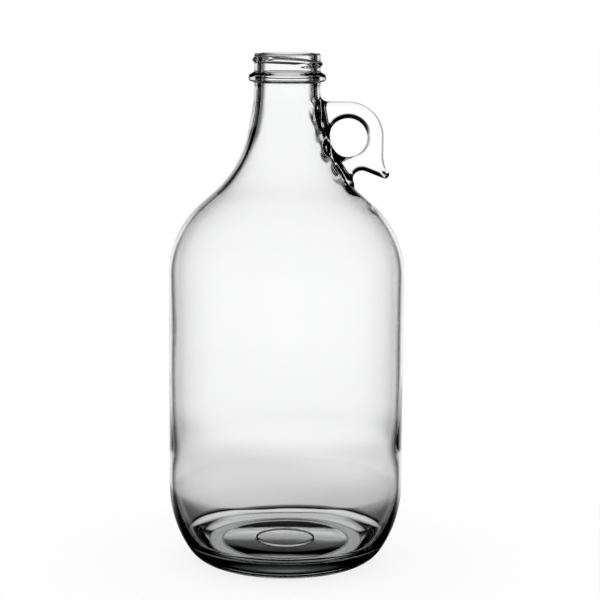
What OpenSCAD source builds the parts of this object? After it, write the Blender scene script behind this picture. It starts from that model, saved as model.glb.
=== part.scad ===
// Half-gallon glass jug with a screw-thread mouth and a one-finger ring handle.
// The jug is one moulding of clear glass. It is built here as its moulded regions,
// which meet face to face: base, body, shoulder, neck, finish, thread and handle.
// Millimetres, +Z up. The origin is on the jug's axis, at the surface it stands on.
// The handle points along +X.

/* [Body] */
// Outside diameter of the straight wall
body_d = 124; // [120:0.5:128]
// Height at which the straight wall ends and the shoulder starts
shoulder_z = 153.5; // [140:0.5:154]
// Radius of the shoulder's outward bulge
shoulder_r = 50.5; // [49:0.5:52]
// Steepest lean of the shoulder, in degrees from upright
shoulder_lean = 48.5; // [47:0.5:49]
// Length of the straight stretch at that lean
lean_len = 8.7; // [7:0.1:10]
// Radius of the inward sweep from shoulder to neck
sweep_r = 57; // [55:0.5:59]

/* [Heel and base] */
// Height at which the heel meets the straight wall
heel_z = 41; // [38:0.5:44]
// Radius of the heel's long upper curve
heel_r = 60; // [56:1:64]
// Radius of the heel's tight lower curve
foot_r = 17.5; // [15:0.5:19]
// Inside radius of the flat ring that the jug stands on
ring_in_r = 33.5; // [31:0.5:35]
// Height of the hollow under the base
push_up = 1.2; // [0.8:0.2:3]
// Radius of the raised disc in the middle of the base
disc_r = 15.3; // [12:0.1:18]
// Height of that disc's step
disc_step = 0.7; // [0.3:0.1:1]

/* [Neck and mouth] */
// Height of the lip above the surface that the jug stands on
total_h = 270; // [268:0.5:274]
// Outside diameter of the neck under the mouth
neck_d = 34.6; // [34:0.2:36]
// Height at which the neck starts to widen
neck_z = 245.6; // [243:0.2:247]
// Outside diameter of the mouth between the threads
mouth_d = 34.8; // [34.5:0.1:35.1]
// Diameter over the thread, for a 38 mm one-turn cap
thread_d = 37.1; // [36.8:0.1:37.4]
// Rise of the thread in one turn, six turns to the inch
thread_pitch = 4.233; // [4:0.05:4.5]
// Diameter of the round bead below the thread
bead_d = 41; // [39:0.5:43]
// Distance from the lip down to the widest line of the bead
bead_drop = 12.7; // [12:0.1:13.5]
// Diameter of the small step under the bead
step_d = 36; // [35.2:0.1:36.5]
// Diameter of the hole through the mouth
bore_d = 27.4; // [26:0.2:28.4]

/* [Glass thickness] */
// Wall of the body
wall_t = 2.2; // [1.8:0.1:3]
// Floor above the ring that the jug stands on
floor_t = 12; // [10:0.5:13]
// Height below which the wall thickens towards the heel
thick_z = 42; // [41:0.5:46]

/* [Handle] */
// Distance of the finger hole from the jug's axis
hole_x = 31.8; // [31.5:0.1:32.5]
// Height of the finger hole
hole_z = 226.3; // [225:0.1:228]
// Diameter of the finger hole at its tightest
hole_d = 20.2; // [19:0.1:21]
// Diameter of the finger hole where it opens out on each face
hole_rim_d = 24.8; // [24:0.1:25.5]
// Outside diameter of the ring
ring_d = 37.4; // [36:0.1:38]
// Thickness of the handle across its faces
handle_t = 9; // [7:0.5:10]

/* [Hidden] */
glass = [0.86, 0.90, 0.90, 0.5];
arc_steps = 20;
$fn = 96;

// Shared radii
body_r = body_d / 2;
neck_r = neck_d / 2;
mouth_r = mouth_d / 2;
bore_r = bore_d / 2;
step_r = step_d / 2;

// Finish levels, measured up from the surface that the jug stands on
bead_z = total_h - bead_drop;
bead_up = 3.3;          // from the bead's widest line up to where it meets the wall
bead_down = 2.6;        // from the widest line down to the step
bead_crest_r = 4.5;     // nearly upright curve of the bead's rim
bead_corner_r = 1;      // rounding above and below that curve
step_h = 1.5;           // height of the small step under the bead
finish_z = bead_z - bead_down - step_h;
lip_round = 1.2;        // rounding of the lip's two edges

// Inside levels and radii of the glass
in_r = body_r - wall_t;
in_heel_r = 54;
in_foot_r = 8;
in_shoulder_r = shoulder_r - wall_t;
in_lean_len = lean_len + 1.8;
in_sweep_r = sweep_r + 1;
in_ring_r = 34;         // where the floor starts to rise to the middle
in_rise = 0.4;
throat_z = finish_z - 1;    // where the neck's inside meets the straight bore

// Where the cut planes between the moulded regions lie
neck_cut_z = 230.4;

// Points along an arc about c, from angle a0 to angle a1
function arc(c, r, a0, a1, n = arc_steps) =
    [for (i = [0 : n]) let (a = a0 + (a1 - a0) * i / n) c + r * [cos(a), sin(a)]];

// Angle, from upright, of the line from p that touches the circle of radius r about c
function touch_angle(p, c, r) =
    atan2(p[1] - c[1], p[0] - c[0]) - 180 + acos(r / norm(p - c));

// Centre of a shoulder's inward sweep, for a wall of radius wall
function sweep_centre(wall, bulge, straight, sweep) =
    [wall - bulge, shoulder_z] + straight * [-sin(shoulder_lean), cos(shoulder_lean)]
        + (bulge + sweep) * [cos(shoulder_lean), sin(shoulder_lean)];

// Outside of the shoulder: bulge, straight stretch, then sweep up to the point top
function shoulder_outline(wall, bulge, straight, sweep, top) =
    let (c2 = sweep_centre(wall, bulge, straight, sweep),
         taper = touch_angle(top, c2, sweep))
    concat(arc([wall - bulge, shoulder_z], bulge, 0, shoulder_lean),
           arc(c2, sweep, 180 + shoulder_lean, 180 + taper),
           [top]);

// Inside of the shoulder: the same, but a longer curve ends the sweep upright in the bore
function inner_shoulder_outline(wall, bulge, straight, sweep) =
    let (c2 = sweep_centre(wall, bulge, straight, sweep),
         in = bore_r - c2[0],
         rise = throat_z - c2[1],
         ease = (pow(sweep, 2) - pow(in, 2) - pow(rise, 2)) / (2 * (in + sweep)),
         joint = atan2(rise, in + ease))
    concat(arc([wall - bulge, shoulder_z], bulge, 0, shoulder_lean),
           arc(c2, sweep, 180 + shoulder_lean, 180 + joint),
           arc([bore_r + ease, throat_z], ease, 180 + joint, 180));

// Heel from the floor at height z0 up to the wall at z1: tight lower curve, then long upper one
function heel_outline(wall, upper, lower, z0, z1) =
    let (c1 = [wall - upper, z1],
         c2z = z0 + lower,
         reach = sqrt(pow(upper - lower, 2) - pow(z1 - c2z, 2)),
         c2 = [c1[0] + reach, c2z],
         joint = atan2(c2z - z1, reach))
    concat(arc(c2, lower, -90, joint), arc(c1, upper, joint, 0));

// Radius of the sphere whose cap is rise high and 2 * reach across
function dome_r(reach, rise) = (pow(reach, 2) + pow(rise, 2)) / (2 * rise);

// Hollow under the base, from the axis out, with the step of the raised disc
function base_outline() =
    let (r = dome_r(ring_in_r, push_up),
         c = [0, push_up - r],
         disc = asin(disc_r / r))
    concat([[0, push_up + disc_step]],
           [c + r * [sin(disc), cos(disc)] + [-disc_step, disc_step]],
           arc(c, r, 90 - disc, 90 - asin(ring_in_r / r)));

// Floor of the hollow, from the axis out
function floor_outline() =
    let (r = dome_r(in_ring_r, in_rise))
    arc([0, floor_t + in_rise - r], r, 90, 90 - asin(in_ring_r / r), 6);

// Bead and step below the thread, going up
bead_turn = 14;         // angle at which the rim's curve gives way to its rounded corners
bead_flank = 58;        // angle at which each corner ends
step_chamfer = 0.3;

function bead_outline() =
    let (crest_c = [bead_d / 2 - bead_crest_r, bead_z],
         out = (bead_crest_r - bead_corner_r) * cos(bead_turn),
         up = (bead_crest_r - bead_corner_r) * sin(bead_turn))
    concat([[neck_r, finish_z], [step_r, finish_z + step_chamfer], [step_r, finish_z + step_h]],
           arc(crest_c + [out, -up], bead_corner_r, -bead_flank, -bead_turn, 3),
           arc(crest_c + [out, up], bead_corner_r, bead_turn, bead_flank, 3),
           [[mouth_r, bead_z + bead_up]]);

// Lip, from the outside over to the bore
function lip_outline() =
    concat(arc([mouth_r - lip_round, total_h - lip_round], lip_round, 0, 90, 8),
           arc([bore_r + lip_round, total_h - lip_round], lip_round, 90, 180, 8));

function outside() =
    concat(base_outline(),
           heel_outline(body_r, heel_r, foot_r, 0, heel_z),
           shoulder_outline(body_r, shoulder_r, lean_len, sweep_r, [neck_r, neck_z]),
           bead_outline());

function inside() =
    concat(floor_outline(),
           heel_outline(in_r, in_heel_r, in_foot_r, floor_t, thick_z),
           inner_shoulder_outline(in_r, in_shoulder_r, in_lean_len, in_sweep_r));

function backwards(list) = [for (i = [len(list) - 1 : -1 : 0]) list[i]];

// Half of the jug's section, without thread and handle
module section() {
    polygon(concat(outside(), lip_outline(), backwards(inside())));
}

// The moulded region between two heights
module region(z0, z1) {
    color(glass)
        rotate_extrude()
            intersection() {
                section();
                translate([0, z0]) square([body_d, z1 - z0]);
            }
}

module base() {
    region(0, thick_z);
}

module body() {
    color(glass)
        translate([0, 0, thick_z])
            difference() {
                cylinder(r = body_r, h = shoulder_z - thick_z);
                translate([0, 0, -1]) cylinder(r = in_r, h = shoulder_z - thick_z + 2);
            }
}

module shoulder() {
    region(shoulder_z, neck_cut_z);
}

module neck() {
    region(neck_cut_z, finish_z);
}

module finish() {
    region(finish_z, total_h);
}

// Thread: one right-hand turn that starts and fades out at the front of the mouth
thread_from = -80;      // angle about the axis at the lower end
thread_to = 252;        // angle at the upper end
thread_back_z = total_h - 4.6;  // height of the thread's middle at the back, at 90 degrees
thread_root_h = 2.5;    // height of the thread where it leaves the wall
thread_crest_h = 0.9;
thread_fade = 40;       // angle over which each end fades
thread_step = 6;
thread_least = 0.12;    // depth left at the very ends, as a share of the full depth
thread_bulge = 0.7;     // share of the depth at which the flank's middle point lies
thread_flank_h = 1.55;  // height of the thread at that point

function thread_scale(a) =
    max(thread_least, sin(90 * min(1, (a - thread_from) / thread_fade, (thread_to - a) / thread_fade)));

function thread_ring(a) =
    let (s = thread_scale(a),
         z = thread_back_z + thread_pitch * (a - 90) / 360,
         root = thread_root_h / 2 * (0.5 + s / 2),
         crest = thread_crest_h / 2 * (0.5 + s / 2),
         depth = (thread_d - mouth_d) / 2 * s,
         flank = thread_flank_h / 2 * (0.5 + s / 2),
         bulge = thread_bulge * depth)
    [for (p = [[0, -root], [bulge, -flank], [depth, -crest],
               [depth, crest], [bulge, flank], [0, root]])
        [(mouth_r + p[0]) * cos(a), (mouth_r + p[0]) * sin(a), z + p[1]]];

// Closed skin over a row of rings that all have the same number of points
module skin(rings) {
    n = len(rings[0]);
    last = (len(rings) - 1) * n;
    polyhedron(
        points = [for (r = rings) for (p = r) p],
        faces = concat(
            [[for (i = [0 : n - 1]) i]],
            [for (k = [0 : len(rings) - 2]) for (i = [0 : n - 1])
                [k * n + i, (k + 1) * n + i, (k + 1) * n + (i + 1) % n]],
            [for (k = [0 : len(rings) - 2]) for (i = [0 : n - 1])
                [k * n + i, (k + 1) * n + (i + 1) % n, k * n + (i + 1) % n]],
            [[for (i = [n - 1 : -1 : 0]) last + i]]));
}

module thread() {
    turns = ceil((thread_to - thread_from) / thread_step);
    color(glass)
        skin([for (i = [0 : turns]) thread_ring(thread_from + (thread_to - thread_from) * i / turns)]);
}

// Handle: a drafted ring, a flat top back to the neck, and a hooked tail under the ring
ring_r = ring_d / 2;
tail_t = handle_t - 2;      // thickness of the tail and of the web to the neck
edge_round = 2.2;           // rounding of the ring's outer edges
hole_round = 3.2;           // rounding where the finger hole opens out on each face
tip = [51.3, 207.4];        // centre of the tail's rounded end
tip_r = 2.4;
hook = [39.3, 204.1];       // centre of the hollow under the tail, where a second finger rests
hook_r = 5;
flare_r = 19;               // hollow curve down the outside of the tail
flare_z = 217.5;
flare_turn = 27;            // angle through which that curve runs
tip_from = 20;              // angles at which the rounded end starts and finishes
tip_to = -112;
hook_at = 67;               // angle at which the tail's underside leaves the hollow
inset = 0.2;                // overlap of the tail with the ring
web_in_x = 20;              // inner end of the web, hidden in the neck

// Section of the ring, drawn with its radius along X and its thickness along Y
module ring_section() {
    half = handle_t / 2;
    polygon(concat(
        [[hole_d / 2, 0]],
        arc([hole_rim_d / 2, -half + hole_round], hole_round, 210, 270, 6),
        arc([ring_r - edge_round, -half + edge_round], edge_round, 270, 360, 6),
        arc([ring_r - edge_round, half - edge_round], edge_round, 0, 90, 6),
        arc([hole_rim_d / 2, half - hole_round], hole_round, 90, 150, 6)));
}

// Outline of the web and the tail, drawn in the plane of the ring
module tail_outline() {
    difference() {
        union() {
            translate([0, hole_z]) square([hole_x, ring_r]);
            polygon(concat(
                [[web_in_x, hole_z], [hole_x + ring_r - inset, hole_z]],
                arc([hole_x + ring_r - inset + flare_r, flare_z], flare_r, 180, 180 + flare_turn),
                arc(tip, tip_r, tip_from, tip_to, 10),
                [hook + hook_r * [cos(hook_at), sin(hook_at)], hook, [web_in_x, hook[1]]]));
        }
        translate([hole_x, hole_z]) circle(d = (hole_d + hole_rim_d) / 2);
        translate(hook) circle(r = hook_r);
    }
}

module handle() {
    color(glass)
        difference() {
            union() {
                translate([hole_x, 0, hole_z]) rotate([90, 0, 0]) rotate_extrude() ring_section();
                translate([0, tail_t / 2, 0]) rotate([90, 0, 0]) linear_extrude(tail_t) tail_outline();
            }
            rotate_extrude() polygon(concat([[0, 0]], outside(), [[0, bead_z]]));
        }
}

base();
body();
shoulder();
neck();
finish();
thread();
handle();
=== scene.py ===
"""A clear glass half-gallon jug with a ring handle, as one continuous piece of moulded glass.

The outside and the inside are turned from the same outlines as the CAD model, the handle is
blended into the neck, and the thread, the bead, the mould seams and the ribs of the standing
ring are real geometry. Lengths are in metres.
"""

import math

import bmesh
import bpy
import numpy as np
from mathutils import Matrix, Vector


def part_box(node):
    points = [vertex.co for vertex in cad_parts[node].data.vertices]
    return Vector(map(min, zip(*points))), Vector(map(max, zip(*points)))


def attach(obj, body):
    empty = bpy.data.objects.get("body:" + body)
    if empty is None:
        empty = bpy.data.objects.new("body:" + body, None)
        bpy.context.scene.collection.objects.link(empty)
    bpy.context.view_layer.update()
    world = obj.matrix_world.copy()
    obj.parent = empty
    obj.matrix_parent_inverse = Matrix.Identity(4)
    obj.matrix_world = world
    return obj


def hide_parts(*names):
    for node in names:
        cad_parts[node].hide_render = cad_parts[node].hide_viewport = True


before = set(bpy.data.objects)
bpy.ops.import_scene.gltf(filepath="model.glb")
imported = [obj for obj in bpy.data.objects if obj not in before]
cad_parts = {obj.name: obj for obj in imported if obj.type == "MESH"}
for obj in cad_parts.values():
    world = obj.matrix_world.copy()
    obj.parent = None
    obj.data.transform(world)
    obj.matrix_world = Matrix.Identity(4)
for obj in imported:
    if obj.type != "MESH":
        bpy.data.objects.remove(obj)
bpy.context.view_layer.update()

MM = 0.001

# ---------------------------------------------------------------- sizes taken from the frame

BODY_LO, BODY_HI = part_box("body")
FINISH_LO, FINISH_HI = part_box("finish")
THREAD_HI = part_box("thread")[1]
HANDLE_LO, HANDLE_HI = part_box("handle")

BODY_R = BODY_HI.x
TOTAL_H = FINISH_HI.z
SHOULDER_Z = BODY_HI.z
THICK_Z = BODY_LO.z
FINISH_Z = FINISH_LO.z
BEAD_R = FINISH_HI.x
THREAD_R = THREAD_HI.x
HANDLE_TOP = HANDLE_HI.z
HANDLE_T = HANDLE_HI.y - HANDLE_LO.y

# ---------------------------------------------------------------- curves, as in the CAD outline

SHOULDER_R = 50.5 * MM
SHOULDER_LEAN = math.radians(48.5)
LEAN_LEN = 8.7 * MM
SWEEP_R = 57 * MM
HEEL_Z = 41 * MM
HEEL_R = 60 * MM
FOOT_R = 17.5 * MM
RING_IN_R = 33.5 * MM
PUSH_UP = 1.2 * MM
DISC_R = 15.3 * MM
DISC_STEP = 0.7 * MM
DISC_EDGE = 1.2 * MM
NECK_R = 17.3 * MM
NECK_Z = 245.6 * MM
MOUTH_R = 17.4 * MM
STEP_R = 17.5 * MM
STEP_H = 1.5 * MM
STEP_FOOT = 0.9 * MM
STEP_RUN = STEP_H + 1.1 * MM
BEAD_DOWN = 2.6 * MM
BEAD_UP = 3.3 * MM
BEAD_CREST_R = 4.5 * MM
BEAD_CORNER_R = 1.0 * MM
BEAD_TURN = 14
BEAD_FLANK = 58
LIP_ROUND = 1.2 * MM
BORE_R = 13.7 * MM
WALL_T = 2.2 * MM
FLOOR_T = 12 * MM
THROAT_R = 90 * MM
IN_R = BODY_R - WALL_T
IN_HEEL_R = 54 * MM
IN_FOOT_R = 8 * MM
IN_SHOULDER_R = SHOULDER_R - WALL_T
IN_LEAN_LEN = LEAN_LEN + 1.8 * MM
IN_SWEEP_R = SWEEP_R + 1 * MM
IN_RING_R = 34 * MM
IN_RISE = 0.4 * MM
BEAD_Z = FINISH_Z + STEP_H + BEAD_DOWN

# ---------------------------------------------------------------- outline of the glass


def arc(c, r, a0, a1, step=0.8 * MM):
    """Points along an arc about c, from angle a0 to a1 in degrees, about step apart."""
    n = max(4, math.ceil(r * math.radians(abs(a1 - a0)) / step))
    a = np.radians(np.linspace(a0, a1, n + 1))
    return np.column_stack([c[0] + r * np.cos(a), c[1] + r * np.sin(a)])


def touch_angle(p, c, r):
    """Lean from upright, in degrees, of the line from p that touches the circle of radius r about c."""
    away = math.degrees(math.atan2(p[1] - c[1], p[0] - c[0]))
    return away - 180 + math.degrees(math.acos(r / math.hypot(p[0] - c[0], p[1] - c[1])))


def shoulder_centres(wall, bulge, straight, sweep):
    """Centres of a shoulder's bulge and of its inward sweep, for a wall of that radius."""
    up = np.array([-math.sin(SHOULDER_LEAN), math.cos(SHOULDER_LEAN)])
    out = np.array([math.cos(SHOULDER_LEAN), math.sin(SHOULDER_LEAN)])
    c1 = np.array([wall - bulge, SHOULDER_Z])
    return c1, c1 + bulge * out + straight * up + sweep * out


def shoulder(wall, bulge, straight, sweep, top):
    """Bulge, straight stretch and inward sweep from a wall of that radius up to the point top."""
    lean = math.degrees(SHOULDER_LEAN)
    c1, c2 = shoulder_centres(wall, bulge, straight, sweep)
    taper = touch_angle(top, c2, sweep)
    return np.vstack([arc(c1, bulge, 0, lean), arc(c2, sweep, 180 + lean, 180 + taper), [top]])


def inner_shoulder(wall, bulge, straight, sweep):
    """The same on the inside, where a long curve of radius THROAT_R ends upright in the bore."""
    lean = math.degrees(SHOULDER_LEAN)
    c1, c2 = shoulder_centres(wall, bulge, straight, sweep)
    across = BORE_R + THROAT_R - c2[0]
    rise = math.sqrt((THROAT_R - sweep) ** 2 - across ** 2)
    joint = math.degrees(math.atan2(rise, across))
    return np.vstack([arc(c1, bulge, 0, lean), arc(c2, sweep, 180 + lean, 180 + joint),
                      arc((BORE_R + THROAT_R, c2[1] + rise), THROAT_R, 180 + joint, 180)])


def heel(wall, upper, lower, z0, z1):
    """Heel from the floor at z0 up to the wall at z1: tight lower curve, then long upper one."""
    c1 = (wall - upper, z1)
    c2z = z0 + lower
    reach = math.sqrt((upper - lower) ** 2 - (z1 - c2z) ** 2)
    c2 = (c1[0] + reach, c2z)
    joint = math.degrees(math.atan2(c2z - z1, reach))
    return np.vstack([arc(c2, lower, -90, joint), arc(c1, upper, joint, 0)])


def dome(reach, rise, z, step=0.0):
    """Shallow dome from the axis out to radius reach, falling from z + rise to z, with a raised disc."""
    r = (reach ** 2 + rise ** 2) / (2 * rise)
    points = arc((0, z + rise - r), r, 90, 90 - math.degrees(math.asin(reach / r)))
    if not step:
        return points
    near = points[points[:, 0] < DISC_R - DISC_EDGE] + [0, step]
    far = points[points[:, 0] > DISC_R + DISC_EDGE]
    edge_z = z + rise - DISC_R ** 2 / (2 * r)
    s = np.linspace(-0.5, 0.5, 7)
    edge = np.column_stack([DISC_R + s * DISC_EDGE, edge_z + step * (0.5 - 0.5 * np.sin(np.pi * s))])
    return np.vstack([near, edge, far])


def bead():
    """Small soft step and bead below the thread, going up. The bead's crest is nearly upright."""
    fine = 0.25 * MM
    crest_c = np.array([BEAD_R - BEAD_CREST_R, BEAD_Z])
    lean = math.radians(BEAD_TURN)
    reach = (BEAD_CREST_R - BEAD_CORNER_R) * np.array([math.cos(lean), math.sin(lean)])
    top_c = crest_c + reach
    low_c = crest_c + reach * [1, -1]
    rise = np.linspace(0, 1, 9)
    foot = np.column_stack([NECK_R + (STEP_R - NECK_R) * smoothstep(rise, 0, 1),
                            FINISH_Z - STEP_FOOT + rise * STEP_RUN])
    head = [[MOUTH_R + 0.25 * MM, BEAD_Z + BEAD_UP - 0.3 * MM], [MOUTH_R, BEAD_Z + BEAD_UP + 0.2 * MM]]
    return np.vstack([foot, arc(low_c, BEAD_CORNER_R, -BEAD_FLANK, -BEAD_TURN, fine),
                      arc(crest_c, BEAD_CREST_R, -BEAD_TURN, BEAD_TURN, fine)[1:-1],
                      arc(top_c, BEAD_CORNER_R, BEAD_TURN, BEAD_FLANK, fine), head])


def lip():
    """Over the lip, from the outside to the bore."""
    z = TOTAL_H - LIP_ROUND
    return np.vstack([arc((MOUTH_R - LIP_ROUND, z), LIP_ROUND, 0, 90, 0.25 * MM),
                      arc((BORE_R + LIP_ROUND, z), LIP_ROUND, 90, 180, 0.25 * MM)])


def refine(points, spacing):
    """Adds points along straight stretches, so that no two are further apart than spacing(point)."""
    out = [points[0]]
    for a, b in zip(points[:-1], points[1:]):
        n = max(1, math.ceil(np.linalg.norm(b - a) / spacing((a + b) / 2)))
        out.extend(a + (b - a) * k / n for k in range(1, n + 1))
    out = np.array(out)
    keep = np.append(True, np.linalg.norm(np.diff(out, axis=0), axis=1) > 1e-6)
    return out[keep]


def outside_spacing(p):
    """How far apart the outside's rows may be: closest at the mouth, under the base and by the handle."""
    if p[1] > BEAD_Z + BEAD_UP:
        return 0.3 * MM
    if p[1] < 0.5 * MM:
        return 0.7 * MM
    if PATCH_LO - 2 * MM < p[1] < FINISH_Z:
        return 0.8 * MM
    return 2.4 * MM


def inside_spacing(p):
    """The same for the inside, where nothing is fine."""
    return 2.6 * MM


def outside_outline():
    """Outside of the jug from the middle of the base up to the foot of the mouth's wall."""
    parts = [dome(RING_IN_R, PUSH_UP, 0, DISC_STEP),
             heel(BODY_R, HEEL_R, FOOT_R, 0, HEEL_Z),
             shoulder(BODY_R, SHOULDER_R, LEAN_LEN, SWEEP_R, (NECK_R, NECK_Z)),
             bead()]
    return refine(np.vstack(parts), outside_spacing)


def inside_outline():
    """Inside of the jug from the middle of the floor up to the foot of the mouth."""
    parts = [dome(IN_RING_R, IN_RISE, FLOOR_T),
             heel(IN_R, IN_HEEL_R, IN_FOOT_R, FLOOR_T, THICK_Z),
             inner_shoulder(IN_R, IN_SHOULDER_R, IN_LEAN_LEN, IN_SWEEP_R),
             [[BORE_R, FINISH_Z]]]
    return refine(np.vstack(parts), inside_spacing)


# ---------------------------------------------------------------- relief of the surfaces


def smoothstep(x, lo, hi):
    """0 below lo, 1 above hi, and an even S between them."""
    t = np.clip((x - lo) / (hi - lo), 0, 1)
    return t * t * (3 - 2 * t)


THREAD_PITCH = 25.4 * MM / 6
THREAD_FROM = -80
THREAD_TO = 252
THREAD_BACK_Z = TOTAL_H - 4.6 * MM
THREAD_ROOT = 1.65 * MM
THREAD_CREST = 0.35 * MM
THREAD_FADE = 85


def thread_relief(angle, z):
    """How far the one-turn thread stands out of the mouth's wall. Angles are in degrees."""
    a = np.where(angle > THREAD_TO, angle - 360, angle)
    fade = np.clip(np.minimum(a - THREAD_FROM, THREAD_TO - a) / THREAD_FADE, 0, 1)
    middle = THREAD_BACK_Z + THREAD_PITCH * (a - 90) / 360
    off = np.abs(z - middle) / (0.6 + 0.4 * fade)
    ramp = np.clip((THREAD_ROOT - off) / (THREAD_ROOT - THREAD_CREST), 0, 1)
    crest = 0.7 * ramp + 0.3 * smoothstep(ramp, 0, 1)
    return (THREAD_R - MOUTH_R) * smoothstep(fade, 0, 1) * crest


SEAM_H = 0.13 * MM
SEAM_HALF_W = 0.35 * MM


def seam_relief(angle, r, z):
    """Two fine upright mould seams, in the plane of the handle."""
    off = np.abs((angle + 90) % 180 - 90)
    across = np.radians(off) * r / SEAM_HALF_W
    where = smoothstep(z, 6 * MM, 16 * MM) * (1 - smoothstep(z, FINISH_Z - 3 * MM, FINISH_Z - 1 * MM))
    return SEAM_H * np.exp(-across ** 2) * where


RIBS = 180
RIB_DEPTH = 0.5 * MM
RIB_FROM = RING_IN_R + 1.6 * MM
RIB_TO = 41.5 * MM
RIB_COLUMNS = 4
RIB_MARGIN_IN = 1 * MM
RIB_MARGIN_OUT = 0.3 * MM
RIB_GAP = 0.35 * MM


def rib_relief(angle, r):
    """How far the surface is cut up between the ribs of the standing ring."""
    where = smoothstep(r, RIB_FROM - 0.8 * MM, RIB_FROM) * (1 - smoothstep(r, RIB_TO - 1.2 * MM, RIB_TO))
    return RIB_DEPTH * where * (0.5 - 0.5 * np.cos(np.radians(angle) * RIBS))


def waves(seed, count, turns, length, angle, z):
    """Smooth seeded waviness of about unit height, by angle in degrees and height."""
    rng = np.random.default_rng(seed)
    total = np.zeros(np.broadcast(angle, z).shape)
    for _ in range(count):
        m = rng.integers(0, turns + 1)
        k = 2 * np.pi / (length * rng.uniform(0.6, 1.8)) * rng.choice([-1, 1])
        total += rng.uniform(0.5, 1) * np.cos(m * np.radians(angle) + k * z + rng.uniform(0, 2 * np.pi))
    return total / math.sqrt(count / 2)


# Unevenness of the inside. Each wave is a seed, a number of waves, the most turns, and a length.
BROAD_WAVES = (3, 10, 4, 70 * MM)
RING_WAVES = (11, 8, 1, 26 * MM)
SETTLE_WAVES = (5, 5, 3, 60 * MM)
ROOT_WAVES = (21, 9, 9, 13 * MM)
BROAD_H = 0.07 * MM
RING_H = 0.02 * MM
SETTLE_Z = 61 * MM
SETTLE_REACH = 10 * MM
SETTLE_H = 0.12 * MM
SETTLE_AT_SEAMS_H = 0.28 * MM
ROOT_H = 0.55 * MM
ROOT_REACH = 24


def inside_relief(angle, z):
    """How far the inner surface stands towards the glass: blown walls are never even."""
    body = smoothstep(z, FLOOR_T + 4 * MM, 40 * MM)
    body = body * (1 - smoothstep(z, FINISH_Z - 25 * MM, FINISH_Z - 6 * MM))
    broad = BROAD_H * waves(*BROAD_WAVES, angle, z)
    rings = RING_H * waves(*RING_WAVES, angle, z)
    # The glass settles thicker low on the wall, most of all by the mould seams
    settle = np.exp(-((z - SETTLE_Z) / SETTLE_REACH) ** 2) * (1 + 0.3 * waves(*SETTLE_WAVES, angle, z))
    settle = settle * (SETTLE_H + SETTLE_AT_SEAMS_H * np.cos(np.radians(angle)) ** 8)
    # Behind the handle the wall is drawn into lumps
    from_handle = (angle + 180) % 360 - 180
    root = np.exp(-(from_handle / ROOT_REACH) ** 2) * smoothstep(z, 184 * MM, 194 * MM)
    root = root * (1 - smoothstep(z, 240 * MM, 249 * MM)) * waves(*ROOT_WAVES, angle, z)
    return body * (broad + rings - settle) + ROOT_H * root


# ---------------------------------------------------------------- mesh building


class Shell:
    """Points and faces of one mesh, built up row by row."""

    def __init__(self):
        self.points = []
        self.faces = []
        self.count = 0

    def add(self, points):
        """Adds points (any shape, last axis x y z) and returns their numbers in the same shape."""
        flat = points.reshape(-1, 3)
        self.points.append(flat)
        index = np.arange(self.count, self.count + len(flat)).reshape(points.shape[:-1])
        self.count += len(flat)
        return index

    def quads(self, a, b, c, d):
        """Quads from four arrays of point numbers of the same shape."""
        self.faces.extend(np.stack([a, b, c, d], -1).reshape(-1, 4).tolist())

    def rings(self, index, skip=None):
        """Quads between closed rings of equal length. skip marks the ones left open."""
        nxt = np.roll(index, -1, axis=1)
        a, b, c, d = index[:-1], nxt[:-1], nxt[1:], index[1:]
        if skip is None:
            self.quads(a, b, c, d)
        else:
            keep = ~skip
            self.quads(a[keep], b[keep], c[keep], d[keep])

    def zip_loops(self, a, ta, b, tb):
        """Triangles between two closed loops. ta and tb are their points' places round them, in turns."""
        b, tb = np.array(b), np.array(tb)
        start = int(np.argmin((tb - ta[0]) % 1.0))
        b = np.roll(b, -start)
        ta = (np.array(ta) - ta[0]) % 1.0
        tb = (np.roll(tb, -start) - tb[start]) % 1.0 + 1e-9
        ta = np.append(np.maximum.accumulate(ta), 1.0)
        tb = np.append(np.maximum.accumulate(tb), 1.0 + 1e-9)
        i = j = 0
        na, nb = len(a), len(b)
        while i < na or j < nb:
            if j == nb or (i < na and ta[i + 1] <= tb[j + 1]):
                self.faces.append([int(a[i % na]), int(a[(i + 1) % na]), int(b[j % nb])])
                i += 1
            else:
                self.faces.append([int(a[i % na]), int(b[(j + 1) % nb]), int(b[j % nb])])
                j += 1

    def cap(self, ring, centre):
        """Triangles from a closed ring to one point."""
        for p, q in zip(ring, np.roll(ring, -1)):
            self.faces.append([int(p), int(q), int(centre)])

    def to_object(self, name):
        """The mesh as a smooth-shaded object of that name."""
        mesh = bpy.data.meshes.new(name)
        mesh.from_pydata(np.vstack(self.points).tolist(), [], self.faces)
        bm = bmesh.new()
        bm.from_mesh(mesh)
        bmesh.ops.recalc_face_normals(bm, faces=bm.faces)
        bm.to_mesh(mesh)
        bm.free()
        mesh.shade_smooth()
        obj = bpy.data.objects.new(name, mesh)
        bpy.context.scene.collection.objects.link(obj)
        return obj


def ring_points(outline, angles, move_out=None, move_up=None):
    """A turned surface: one row for each point of the outline, one column for each angle in degrees."""
    r = outline[:, 0][:, None] + (0 if move_out is None else move_out)
    z = outline[:, 1][:, None] + (0 if move_up is None else move_up)
    a = np.radians(angles)[None, :]
    r, z = np.broadcast_arrays(r + 0 * a, z + 0 * a)
    return np.stack([r * np.cos(a), r * np.sin(a), z], -1)


COLUMN_STEP = 1.5
SEAM_COLUMNS = (-0.8, -0.5, -0.25, 0.25, 0.5, 0.8)


def column_angles():
    """Even columns, with a few more by each seam."""
    even = np.arange(0, 360, COLUMN_STEP)
    near = [c + s for c in (0, 180) for s in SEAM_COLUMNS]
    return np.sort(np.concatenate([even, near]) % 360)


# ---------------------------------------------------------------- handle, blended into the neck

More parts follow.
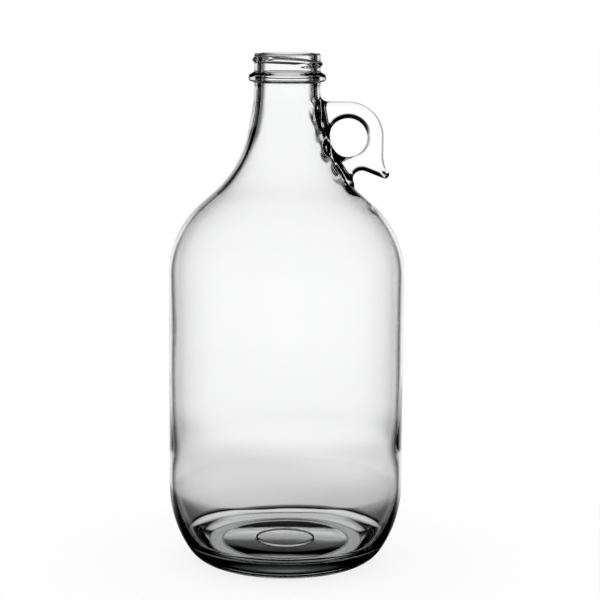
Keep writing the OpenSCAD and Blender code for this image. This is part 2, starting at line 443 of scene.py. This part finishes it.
# Ring and finger hole, in the handle's plane as x and z. The edges are rounded as one curve, EDGE_IN
# wide across the face and EDGE_DEEP deep, and BLEND is the fillet's reach where it meets the neck.
RING_R = 18.7 * MM
HOLE_R = 10.1 * MM
HOLE = np.array([31.8 * MM, HANDLE_TOP - RING_R])
EDGE_IN = 2.7 * MM
EDGE_DEEP = 3.6 * MM
EDGE_POWER = 1.5
BLEND = 5 * MM
# Tail: a hollow flare down its outside, a round tip, and a hollow underneath for a second finger
FLARE_R = 19 * MM
FLARE_Z = 217.5 * MM
TIP = np.array([51.3, 207.4]) * MM
TIP_R = 2.4 * MM
HOOK = np.array([39.3, 204.1]) * MM
HOOK_R = 5 * MM
ROOT_Z = 196 * MM

# The patch of neck round the handle's roots: degrees to each side, then heights. The net that fills
# it stops a little short of its edge, and is cut from a box of cells.
PATCH_HALF = 36
PATCH_LO = 190 * MM
PATCH_HI = FINISH_Z - 1.2 * MM
PATCH_GAP = 2.2
PATCH_GAP_LO = 1.1 * MM
PATCH_GAP_HI = 0.8 * MM
NET_LO = np.array([2 * MM, -34 * MM, PATCH_LO - 1 * MM])
NET_HI = np.array([56 * MM, 34 * MM, PATCH_HI + 1 * MM])
CELL = 0.45 * MM
RIM_ROUNDS = 14
RELAX_ROUNDS = 7
# The grid on which the distance to the handle's outline is worked out once
PLANE_X = 60 * MM
PLANE_Z = (184 * MM, 256 * MM)
PLANE_STEP = 0.2 * MM
# Points this close to both surfaces lie on the bare neck, whose normals are taken over ROW_REACH
FLUSH = 0.02 * MM
ROW_REACH = 0.9 * MM


def handle_outline():
    """Outline of the handle in its own plane, as x and z, starting and ending inside the neck."""
    outer_x = HOLE[0] + RING_R - 0.2 * MM
    return np.vstack([
        [[5 * MM, HANDLE_TOP]],
        arc(HOLE, RING_R, 90, 5, 0.5 * MM),
        arc((outer_x + FLARE_R, FLARE_Z), FLARE_R, 180, 207, 0.5 * MM),
        arc(TIP, TIP_R, 20, -112, 0.3 * MM),
        arc(HOOK, HOOK_R, 67, 200, 0.4 * MM),
        [[5 * MM, ROOT_Z]]])


def outline_distance(outline, x, z):
    """Signed distance to a closed outline, negative inside, on a grid of x and z."""
    p = np.stack([x, z], -1)
    best = np.full(x.shape, 1e9)
    inside = np.zeros(x.shape, bool)
    for a, b in zip(outline, np.roll(outline, -1, axis=0)):
        edge = b - a
        t = np.clip(((p - a) @ edge) / (edge @ edge), 0, 1)
        best = np.minimum(best, np.linalg.norm(p - a - t[..., None] * edge, axis=-1))
        crosses = (a[1] > z) != (b[1] > z)
        with np.errstate(divide="ignore", invalid="ignore"):
            at = a[0] + (z - a[1]) / (b[1] - a[1]) * (b[0] - a[0])
        inside ^= crosses & (x < at)
    return np.where(inside, -best, best)


class HandleField:
    """Distance-like field of the neck's outside with the handle blended on, negative in the glass."""

    def __init__(self, outline):
        keep = (outline[:, 1] > 150 * MM) & (outline[:, 1] < FINISH_Z)
        self.rz = outline[keep]
        self.x = np.arange(0, PLANE_X, PLANE_STEP)
        self.z = np.arange(*PLANE_Z, PLANE_STEP)
        gx, gz = np.meshgrid(self.x, self.z, indexing="ij")
        self.flat = outline_distance(handle_outline(), gx, gz)

    def plane(self, x, z):
        """The handle's outline distance at x and z, between grid points."""
        fx = np.clip((x - self.x[0]) / (self.x[1] - self.x[0]), 0, len(self.x) - 1.001)
        fz = np.clip((z - self.z[0]) / (self.z[1] - self.z[0]), 0, len(self.z) - 1.001)
        i, j = fx.astype(int), fz.astype(int)
        u, v = fx - i, fz - j
        g = self.flat
        return (g[i, j] * (1 - u) * (1 - v) + g[i + 1, j] * u * (1 - v)
                + g[i, j + 1] * (1 - u) * v + g[i + 1, j + 1] * u * v)

    def neck_r(self, z):
        """Radius of the bare neck's outside at a height."""
        return np.interp(z, self.rz[:, 1], self.rz[:, 0])

    def neck_lean(self, z, reach):
        """How fast that radius grows with height, taken over reach up and down."""
        return (self.neck_r(z + reach) - self.neck_r(z - reach)) / (2 * reach)

    def __call__(self, p):
        x, y, z = p[..., 0], p[..., 1], p[..., 2]
        neck = (np.hypot(x, y) - self.neck_r(z)) / np.sqrt(1 + self.neck_lean(z, PLANE_STEP) ** 2)
        edge = np.maximum(self.plane(x, z), HOLE_R - np.hypot(x - HOLE[0], z - HOLE[1]))
        u = np.maximum(edge + EDGE_IN, 0) / EDGE_IN
        v = np.maximum(np.abs(y) - (HANDLE_T / 2 - EDGE_DEEP), 0) / EDGE_DEEP
        plate = ((u ** EDGE_POWER + v ** EDGE_POWER) ** (1 / EDGE_POWER) - 1) * (EDGE_IN + EDGE_DEEP) / 2
        near = np.maximum(BLEND - np.abs(neck - plate), 0) / BLEND
        return np.minimum(neck, plate) - near ** 2 * BLEND / 4

    def bare_neck(self, p):
        """Which points lie on the neck clear of the handle, and the neck's own normals there."""
        rho = np.hypot(p[:, 0], p[:, 1])
        off = rho - self.neck_r(p[:, 2])
        turned = np.stack([p[:, 0] / rho, p[:, 1] / rho, -self.neck_lean(p[:, 2], ROW_REACH)], -1)
        turned /= np.linalg.norm(turned, axis=1, keepdims=True)
        flush = (np.abs(off) < FLUSH) & (np.abs(self(p)) < FLUSH)
        beside = np.abs(p[:, 1]) > 0.4 * HANDLE_T
        clear = beside | (p[:, 2] > HANDLE_TOP + BLEND) | (p[:, 2] < ROOT_Z)
        return flush & clear, turned

    def slope(self, p):
        """Which way the field grows, and how fast."""
        e = 0.02 * MM
        steps = np.eye(3) * e
        return np.stack([(self(p + s) - self(p - s)) / (2 * e) for s in steps], -1)

    def settle(self, p, rounds=3):
        """Moves points onto the surface."""
        for _ in range(rounds):
            g = self.slope(p)
            p = p - self(p)[:, None] * g / np.maximum((g ** 2).sum(-1, keepdims=True), 1e-6)
        return p


def smooth_neck(obj, field, patch):
    """Gives the patch's bare neck the normals of the turned curve, so that its border doesn't show."""
    mesh = obj.data
    count = len(mesh.vertices)
    normals = np.empty(count * 3, np.float32)
    points = np.empty(count * 3, np.float32)
    mesh.vertices.foreach_get("normal", normals)
    mesh.vertices.foreach_get("co", points)
    normals = normals.reshape(-1, 3)
    p = points.reshape(-1, 3)[patch].astype(float)
    bare, turned = field.bare_neck(p)
    normals[patch[bare]] = turned[bare]
    mesh.normals_split_custom_set_from_vertices(normals.tolist())


CORNERS = [(i, j, k) for i in (0, 1) for j in (0, 1) for k in (0, 1)]


def corner(array, c):
    """The array's values at one corner of every cell."""
    n = array.shape
    return array[c[0]:n[0] - 1 + c[0], c[1]:n[1] - 1 + c[1], c[2]:n[2] - 1 + c[2]]


def net_points(grid, value):
    """One point in each cell that the surface crosses, and the number of each cell's point."""
    inside = sum(corner(value < 0, c).astype(int) for c in CORNERS)
    active = (inside > 0) & (inside < len(CORNERS))
    number = np.full(active.shape, -1)
    number[active] = np.arange(active.sum())
    total = np.zeros((active.sum(), 3))
    hits = np.zeros(active.sum())
    for a in CORNERS:
        for axis in range(3):
            if a[axis]:
                continue
            b = tuple(1 if k == axis else a[k] for k in range(3))
            va, vb = corner(value, a)[active], corner(value, b)[active]
            cut = (va < 0) != (vb < 0)
            t = np.where(cut, va / np.where(cut, va - vb, 1), 0)[:, None]
            pa, pb = corner(grid, a)[active], corner(grid, b)[active]
            total += np.where(cut[:, None], pa + t * (pb - pa), 0)
            hits += cut
    return total / hits[:, None], number


def net_quads(solid, number):
    """A quad between the four cells round each edge of the grid that the surface crosses."""
    n = solid.shape
    quads = []
    for axis in range(3):
        u, v = [k for k in range(3) if k != axis]
        first = [slice(1, n[k] - 1) for k in range(3)]
        first[axis] = slice(0, n[axis] - 1)
        second = list(first)
        second[axis] = slice(1, n[axis])
        cut = solid[tuple(first)] != solid[tuple(second)]
        base = np.argwhere(cut)
        base[:, u] += 1
        base[:, v] += 1
        cells = []
        for du, dv in ((-1, -1), (0, -1), (0, 0), (-1, 0)):
            c = base.copy()
            c[:, u] += du
            c[:, v] += dv
            cells.append(number[c[:, 0], c[:, 1], c[:, 2]])
        quads.append(np.stack(cells, -1))
    return np.vstack(quads)


def surface_net(field, lo, hi, cell):
    """Points and quads over the zero surface of a field inside a box."""
    n = np.ceil((hi - lo) / cell).astype(int) + 1
    axes = [lo[k] + cell * np.arange(n[k]) for k in range(3)]
    grid = np.stack(np.meshgrid(*axes, indexing="ij"), -1)
    value = field(grid)
    points, number = net_points(grid, value)
    return points, net_quads(value < 0, number)


def boundary_loop(faces):
    """The one closed loop of edges that only one face uses, as point numbers in order."""
    edges = np.sort(np.vstack([faces[:, [k, (k + 1) % 4]] for k in range(4)]), axis=1)
    edges, uses = np.unique(edges, axis=0, return_counts=True)
    after = {}
    for a, b in edges[uses == 1]:
        after.setdefault(int(a), []).append(int(b))
        after.setdefault(int(b), []).append(int(a))
    start = next(iter(after))
    loop, previous, here = [start], None, start
    while True:
        step = [k for k in after[here] if k != previous]
        previous, here = here, step[0]
        if here == start:
            return loop
        loop.append(here)


def relax(points, faces, fixed, field, rounds):
    """Evens out the net: points move to the middle of their neighbours and back onto the surface."""
    pairs = np.vstack([faces[:, [k, (k + 1) % 4]] for k in range(4)])
    pairs = np.vstack([pairs, pairs[:, ::-1]])
    for _ in range(rounds):
        total = np.zeros_like(points)
        count = np.zeros(len(points))
        np.add.at(total, pairs[:, 0], points[pairs[:, 1]])
        np.add.at(count, pairs[:, 0], 1)
        moved = points + 0.6 * (total / np.maximum(count, 1)[:, None] - points)
        points = np.where(fixed[:, None], points, field.settle(moved, 2))
    return points


def window_place(p):
    """Place of a point round the middle of the handle's patch of neck, in turns."""
    across = np.degrees(np.arctan2(p[:, 1], p[:, 0])) / PATCH_HALF
    up = (p[:, 2] - (PATCH_LO + PATCH_HI) / 2) / ((PATCH_HI - PATCH_LO) / 2)
    return (np.arctan2(up, across) / (2 * np.pi)) % 1.0


def handle_patch(outline):
    """The handle and the patch of neck round its roots, as points, quads and the patch's edge."""
    field = HandleField(outline)
    points, quads = surface_net(field, NET_LO, NET_HI, CELL)
    points = field.settle(points)
    across = np.abs(np.degrees(np.arctan2(points[:, 1], points[:, 0])))
    z = points[:, 2]
    keep = (across < PATCH_HALF - PATCH_GAP) & (z > PATCH_LO + PATCH_GAP_LO) & (z < PATCH_HI - PATCH_GAP_HI)
    quads = quads[keep[quads].all(axis=1)]
    used, quads = np.unique(quads, return_inverse=True)
    quads = quads.reshape(-1, 4)
    points = points[used]
    loop = boundary_loop(quads)
    fixed = np.zeros(len(points), bool)
    fixed[loop] = True
    # The net's edge goes in steps, so it is drawn smooth before it is joined to the neck
    for _ in range(RIM_ROUNDS):
        rim = points[loop]
        rim = (rim + np.roll(rim, 1, axis=0) + np.roll(rim, -1, axis=0)) / 3
        points[loop] = field.settle(rim, 2)
    return relax(points, quads, fixed, field, RELAX_ROUNDS), quads, loop


# ---------------------------------------------------------------- the jug


def insert_level(outline, level):
    """The outline with a point added at that height, if none is there."""
    if np.min(np.abs(outline[:, 1] - level)) < 1e-6:
        return outline
    k = int(np.flatnonzero((outline[:-1, 1] < level) & (outline[1:, 1] > level))[0])
    t = (level - outline[k, 1]) / (outline[k + 1, 1] - outline[k, 1])
    return np.insert(outline, k + 1, outline[k] + t * (outline[k + 1] - outline[k]), axis=0)


def join(shell, a, ta, b, tb):
    """Joins two loops that may run opposite ways or start anywhere."""
    def forward(index, t):
        steps = (np.roll(t, -1) - t + 0.5) % 1.0 - 0.5
        return (index[::-1], t[::-1]) if steps.sum() < 0 else (index, t)
    a, ta = forward(np.array(a), ta)
    b, tb = forward(np.array(b), tb)
    shell.zip_loops(a, ta, b, tb)


def add_underside(shell, outline, angles):
    """The hollow under the base and the standing ring. Returns the ring's last row and its columns."""
    first = int(np.argmax(outline[:, 0] >= RIB_FROM - RIB_MARGIN_IN))
    last = int(np.argmax(outline[:, 0] >= RIB_TO + RIB_MARGIN_OUT))
    centre = shell.add(np.array([[0, 0, outline[0, 1]]]))[0]
    under = shell.add(ring_points(outline[1:first + 1], angles))
    shell.cap(under[0], centre)
    shell.rings(under)

    # The ribs stand on a finer set of columns, which starts a little further out
    fine = np.arange(0, 360, 360 / (RIBS * RIB_COLUMNS))
    zone = outline[first:last + 1].copy()
    zone[0, 0] += RIB_GAP
    ribs = shell.add(ring_points(zone, fine, move_up=rib_relief(fine[None, :], zone[:, 0][:, None])))
    shell.rings(ribs)
    shell.zip_loops(under[-1], angles / 360, ribs[0], fine / 360)
    return ribs[-1], fine, last


def outside_rows(outline, last):
    """The outside's rows above the ribs, with one at each end of the handle's patch."""
    upper = refine(np.vstack([outline[last + 1:], lip()[:1]]), outside_spacing)
    for level in (PATCH_LO, PATCH_HI):
        upper = insert_level(upper, level)
    return upper


def add_outside(shell, upper, angles, ribs, fine):
    """Heel, wall, shoulder, neck and mouth, open where the handle goes. Returns points and opening."""
    r, z = upper[:, 0][:, None], upper[:, 1][:, None]
    thread = thread_relief(angles[None, :], z) * (z > BEAD_Z + BEAD_UP)
    side = shell.add(ring_points(upper, angles, move_out=seam_relief(angles[None, :], r, z) + thread))
    shell.zip_loops(ribs, fine / 360, side[0], angles / 360)
    cols = np.minimum(angles, 360 - angles) <= PATCH_HALF + 1e-6
    rows = (upper[:, 1] >= PATCH_LO - 1e-9) & (upper[:, 1] <= PATCH_HI + 1e-9)
    row_open = rows[:-1] & rows[1:]
    col_open = cols & np.roll(cols, -1)
    shell.rings(side, skip=row_open[:, None] & col_open[None, :])
    return side, np.flatnonzero(rows), np.flatnonzero(cols)


def add_handle(shell, outline, side, rows, cols, angles):
    """The handle, closing the opening left in the neck. Returns the patch's points and its border."""
    points, quads, loop = handle_patch(outline)
    index = shell.add(points)
    shell.faces.extend(index[quads].tolist())
    cols = cols[np.argsort((angles[cols] + 180) % 360)]
    border = np.concatenate([side[rows[0], cols], side[rows[1:], cols[-1]],
                             side[rows[-1], cols[::-1][1:]], side[rows[::-1][1:-1], cols[0]]])
    every = np.vstack(shell.points)
    rim = index[np.array(loop)]
    join(shell, border, window_place(every[border]), rim, window_place(every[rim]))
    return np.concatenate([index, border])


def add_inside(shell, lip_row, angles):
    """Over the lip and down the inside to the middle of the floor."""
    over = lip()[1:]
    bore = refine(np.vstack([over[-1:], [[BORE_R, FINISH_Z]]]), inside_spacing)[1:]
    inside = inside_outline()
    down = np.vstack([over, bore, inside[::-1][1:-1]])
    z = down[:, 1][:, None]
    deep = (z < FINISH_Z) * inside_relief(angles[None, :], z)
    inner = shell.add(ring_points(down, angles, move_out=deep))
    shell.rings(np.vstack([lip_row, inner]))
    floor = shell.add(np.array([[0, 0, inside[0, 1]]]))[0]
    shell.cap(inner[-1], floor)


def build_glass():
    """The whole jug as one closed skin: up the outside, over the lip and down the inside."""
    shell = Shell()
    angles = column_angles()
    outline = outside_outline()
    ribs, fine, last = add_underside(shell, outline, angles)
    upper = outside_rows(outline, last)
    side, rows, cols = add_outside(shell, upper, angles, ribs, fine)
    patch = add_handle(shell, outline, side, rows, cols, angles)
    add_inside(shell, side[-1:], angles)
    glass = shell.to_object("jug_glass")
    smooth_neck(glass, HandleField(outline), patch)
    return glass


# ---------------------------------------------------------------- material


GLASS_IOR = 1.52
GLASS_TINT = (0.90, 0.93, 0.93, 1)
GLASS_DENSITY = 25
HAZE_SCALE = 45
HAZE_MOST = 0.03
SKIN_SCALE = 160
SKIN_STRENGTH = 0.25
SKIN_DEPTH = 0.03 * MM


def glass_material():
    """Clear glass with a faint grey tint, patches of slight haze and a barely uneven skin."""
    mat = bpy.data.materials.new("clear_glass")
    mat.use_nodes = True
    nodes, links = mat.node_tree.nodes, mat.node_tree.links
    nodes.clear()
    out = nodes.new("ShaderNodeOutputMaterial")
    bsdf = nodes.new("ShaderNodeBsdfPrincipled")
    bsdf.inputs["Base Color"].default_value = (1, 1, 1, 1)
    bsdf.inputs["Transmission Weight"].default_value = 1
    bsdf.inputs["IOR"].default_value = GLASS_IOR
    links.new(bsdf.outputs["BSDF"], out.inputs["Surface"])
    place = nodes.new("ShaderNodeTexCoord")

    def noise(scale, detail):
        n = nodes.new("ShaderNodeTexNoise")
        n.inputs["Scale"].default_value = scale
        n.inputs["Detail"].default_value = detail
        links.new(place.outputs["Object"], n.inputs["Vector"])
        return n.outputs["Fac"]

    rough = nodes.new("ShaderNodeMapRange")
    rough.inputs["From Min"].default_value = 0.45
    rough.inputs["From Max"].default_value = 0.8
    rough.inputs["To Min"].default_value = 0.0
    rough.inputs["To Max"].default_value = HAZE_MOST
    links.new(noise(HAZE_SCALE, 4), rough.inputs["Value"])
    links.new(rough.outputs["Result"], bsdf.inputs["Roughness"])
    bump = nodes.new("ShaderNodeBump")
    bump.inputs["Strength"].default_value = SKIN_STRENGTH
    bump.inputs["Distance"].default_value = SKIN_DEPTH
    links.new(noise(SKIN_SCALE, 2), bump.inputs["Height"])
    links.new(bump.outputs["Normal"], bsdf.inputs["Normal"])
    absorb = nodes.new("ShaderNodeVolumeAbsorption")
    absorb.inputs["Color"].default_value = GLASS_TINT
    absorb.inputs["Density"].default_value = GLASS_DENSITY
    links.new(absorb.outputs["Volume"], out.inputs["Volume"])
    return mat


# ---------------------------------------------------------------- studio

# Soft lamps stand round the jug. Wide ones face the front, the back and the sides; narrow ones
# face the corners, low down, and the pale table shows below them. The edge lamps light what is seen
# through a single thickness of glass. Each list gives degrees and brightness: a lamp's own from its
# middle outwards, and its height's from straight down to straight up.
LAMPS_ROUND = 4
WIDE_LAMP = [(0, 1.0), (13, 1.0), (17, 0.74), (21, 0.34), (25, 0.09), (30, 0.01), (45, 0.0)]
NARROW_LAMP = [(0, 1.0), (8, 1.0), (13, 0.1), (17, 0.0)]
WIDE_LAMP_HEIGHT = [(-90, 0.0), (-24, 0.0), (-19, 0.12), (-16.5, 0.54), (-14.5, 0.7), (-12, 0.96),
                    (-9, 1.0), (4.5, 1.0), (8.5, 0.5), (13, 0.05), (18, 0.0), (90, 0.0)]
NARROW_LAMP_HEIGHT = [(-90, 0.0), (-42, 0.0), (-36, 0.62), (-17, 0.64), (-12, 0.95), (-7, 1.0),
                      (-4, 0.0), (90, 0.0)]
EDGE_LAMP = [(0, 1.0), (25, 1.0), (45, 0.4)]
EDGE_LAMP_HEIGHT = [(-90, 0.5), (-60, 0.9), (1, 1.0), (6, 0.4), (10, 0.03), (16, 0.0), (90, 0.0)]
TABLE_LAMP = [(0, 1.0), (12, 1.0), (20, 0.6), (26, 0.0), (45, 0.0)]
TABLE_LAMP_HEIGHT = [(-90, 0.0), (-56, 0.0), (-46, 0.6), (-34, 0.72), (-29, 0.66), (-27.5, 0.45),
                     (-26, 0.0), (90, 0.0)]
BOUNCE_LAMP = [(0, 1.0), (21, 1.0), (27, 0.5), (31, 0.08), (36, 0.0), (45, 0.0)]
LAMP_STRENGTH = 1.12
BOUNCE_STRENGTH = 0.85
BOUNCE_ROOM = 0.12
SOFT_STRENGTH = 1.08


class WorldNodes:
    """Short ways to add nodes to the world's shader."""

    def __init__(self, tree):
        self.nodes, self.links = tree.nodes, tree.links
        self.nodes.clear()

    def put(self, value, socket):
        """Sets a socket to a number, or links another node's output to it."""
        if isinstance(value, (int, float)):
            socket.default_value = value
        else:
            self.links.new(value, socket)

    def maths(self, op, a, b=0.0):
        n = self.nodes.new("ShaderNodeMath")
        n.operation = op
        self.put(a, n.inputs[0])
        self.put(b, n.inputs[1])
        return n.outputs[0]

    def times(self, a, b):
        return self.maths("MULTIPLY", a, b)

    def plus(self, a, b):
        return self.maths("ADD", a, b)

    def ramp(self, value, stops):
        """Brightness that eases between stops, each a place from 0 to 1 and a grey."""
        n = self.nodes.new("ShaderNodeValToRGB")
        n.color_ramp.interpolation = "EASE"
        elements = n.color_ramp.elements
        while len(elements) > 1:
            elements.remove(elements[-1])
        for k, (at, grey) in enumerate(stops):
            e = elements[0] if k == 0 else elements.new(at)
            e.position = at
            e.color = (grey, grey, grey, 1)
        self.links.new(value, n.inputs[0])
        return n.outputs[0]

    def pick(self, which, a, b):
        """a where which is 0, and b where it is 1."""
        return self.plus(self.times(a, self.maths("SUBTRACT", 1.0, which)), self.times(b, which))

    def background(self, strength):
        n = self.nodes.new("ShaderNodeBackground")
        n.inputs["Color"].default_value = (1, 1, 1, 1)
        self.put(strength, n.inputs["Strength"])
        return n.outputs[0]

    def choose(self, which, a, b):
        """The same for shaders."""
        n = self.nodes.new("ShaderNodeMixShader")
        for value, socket in zip((which, a, b), n.inputs):
            self.links.new(value, socket)
        return n.outputs[0]


def fold_place(deg):
    """Place on a folded ramp of a direction deg away from a lamp's middle: 1 at the middle itself."""
    return 0.5 + 0.5 * math.cos(math.radians(deg * LAMPS_ROUND))


def build_world():
    """The studio's light, as one shader that shows different kinds of ray what each should see."""
    world = bpy.data.worlds.new("studio")
    bpy.context.scene.world = world
    world.use_nodes = True
    w = WorldNodes(world.node_tree)
    coord = w.nodes.new("ShaderNodeTexCoord")
    xyz = w.nodes.new("ShaderNodeSeparateXYZ")
    w.links.new(coord.outputs["Generated"], xyz.inputs[0])
    x, y, z = xyz.outputs

    # Height above the horizon runs from 0 straight down to 1 straight up. The turn round the jug is
    # folded, so that it is 1 in the middle of each wide lamp and 0 half way to the next.
    level = w.plus(w.maths("DIVIDE", w.maths("ARCSINE", z), math.pi), 0.5)
    wave = w.maths("COSINE", w.times(w.maths("ARCTAN2", y, x), float(LAMPS_ROUND)))
    to_wide = w.plus(w.times(wave, 0.5), 0.5)
    to_corner = w.maths("SUBTRACT", 1.0, to_wide)

    def by_height(stops):
        return w.ramp(level, [((deg + 90) / 180, grey) for deg, grey in stops])

    def by_turn(facing, stops):
        return w.ramp(facing, sorted((fold_place(deg), grey) for deg, grey in stops))

    wide_height = by_height(WIDE_LAMP_HEIGHT)
    wide = w.times(by_turn(to_wide, WIDE_LAMP), wide_height)
    narrow = w.times(by_turn(to_corner, NARROW_LAMP), by_height(NARROW_LAMP_HEIGHT))
    table = w.times(by_turn(to_wide, TABLE_LAMP), by_height(TABLE_LAMP_HEIGHT))
    lamps = w.maths("MAXIMUM", w.maths("MAXIMUM", wide, narrow), table)

    # Rays that reflect inside the glass see only the lamp behind the jug, and a dim room
    ahead = w.maths("GREATER_THAN", y, w.maths("ABSOLUTE", x))
    room = w.times(w.maths("LESS_THAN", y, 0.0), BOUNCE_ROOM)
    lit = w.times(w.times(by_turn(to_wide, BOUNCE_LAMP), ahead), BOUNCE_STRENGTH)
    bounced = w.times(w.plus(lit, room), wide_height)
    # Rays that pass through one thickness of glass, as in the handle, see a pale table below
    shallow = w.times(by_turn(to_wide, EDGE_LAMP), by_height(EDGE_LAMP_HEIGHT))

    path = w.nodes.new("ShaderNodeLightPath").outputs
    clean = w.pick(w.maths("LESS_THAN", path["Transmission Depth"], 2.5), lamps, shallow)
    after_bounce = w.maths("GREATER_THAN", path["Glossy Depth"], 0.5)
    glass = w.background(w.times(w.pick(after_bounce, clean, bounced), LAMP_STRENGTH))
    soft = w.background(SOFT_STRENGTH)
    paper = w.background(1.0)
    from_glass = w.plus(path["Is Glossy Ray"], path["Is Transmission Ray"])
    from_floor = w.maths("GREATER_THAN", path["Diffuse Depth"], 0.5)
    shader = w.choose(from_floor, w.choose(from_glass, soft, glass), soft)
    shader = w.choose(path["Is Camera Ray"], shader, paper)
    out = w.nodes.new("ShaderNodeOutputWorld")
    w.links.new(shader, out.inputs["Surface"])


# The floor gives off part of its brightness itself, which keeps the jug's shadow faint
FLOOR_R = 40
FLOOR_GREY = 0.22
FLOOR_GLOW = 0.77


def build_floor():
    """The white paper that the jug stands on."""
    bm = bmesh.new()
    bmesh.ops.create_circle(bm, cap_ends=True, segments=96, radius=FLOOR_R)
    mesh = bpy.data.meshes.new("floor")
    bm.to_mesh(mesh)
    bm.free()
    floor = bpy.data.objects.new("floor", mesh)
    bpy.context.scene.collection.objects.link(floor)
    mat = bpy.data.materials.new("floor_paint")
    mat.use_nodes = True
    bsdf = mat.node_tree.nodes["Principled BSDF"]
    bsdf.inputs["Base Color"].default_value = (FLOOR_GREY, FLOOR_GREY, FLOOR_GREY, 1)
    bsdf.inputs["Roughness"].default_value = 0.9
    bsdf.inputs["Specular IOR Level"].default_value = 0
    bsdf.inputs["Emission Color"].default_value = (1, 1, 1, 1)
    bsdf.inputs["Emission Strength"].default_value = FLOOR_GLOW
    mesh.materials.append(mat)
    floor.visible_transmission = False
    floor.visible_glossy = False
    return floor


# The camera stands 1 m in front of the jug's axis, a little above the lip. Angles are in degrees.
CAMERA_BACK = 1.0
CAMERA_H = 0.2902
CAMERA_DOWN = 8.52
CAMERA_YAW = 0.414
CAMERA_ROLL = 0.33
CAMERA_LENS = 114.66


def build_camera():
    """The photo's viewpoint."""
    data = bpy.data.cameras.new("camera")
    data.sensor_width = 36
    data.lens = CAMERA_LENS
    data.clip_end = 100
    cam = bpy.data.objects.new("camera", data)
    turn_yaw = Matrix.Rotation(math.radians(-CAMERA_YAW), 4, "Z")
    pitch = Matrix.Rotation(math.radians(90 - CAMERA_DOWN), 4, "X")
    roll = Matrix.Rotation(math.radians(CAMERA_ROLL), 4, "Z")
    cam.matrix_world = Matrix.Translation((0, -CAMERA_BACK, CAMERA_H)) @ turn_yaw @ pitch @ roll
    bpy.context.scene.collection.objects.link(cam)
    bpy.context.scene.camera = cam


build_camera()
build_world()
build_floor()

jug = build_glass()
jug.data.materials.append(glass_material())
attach(jug, "root")
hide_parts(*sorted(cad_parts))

view = bpy.context.scene.view_settings
view.view_transform = "Standard"
view.look = "None"
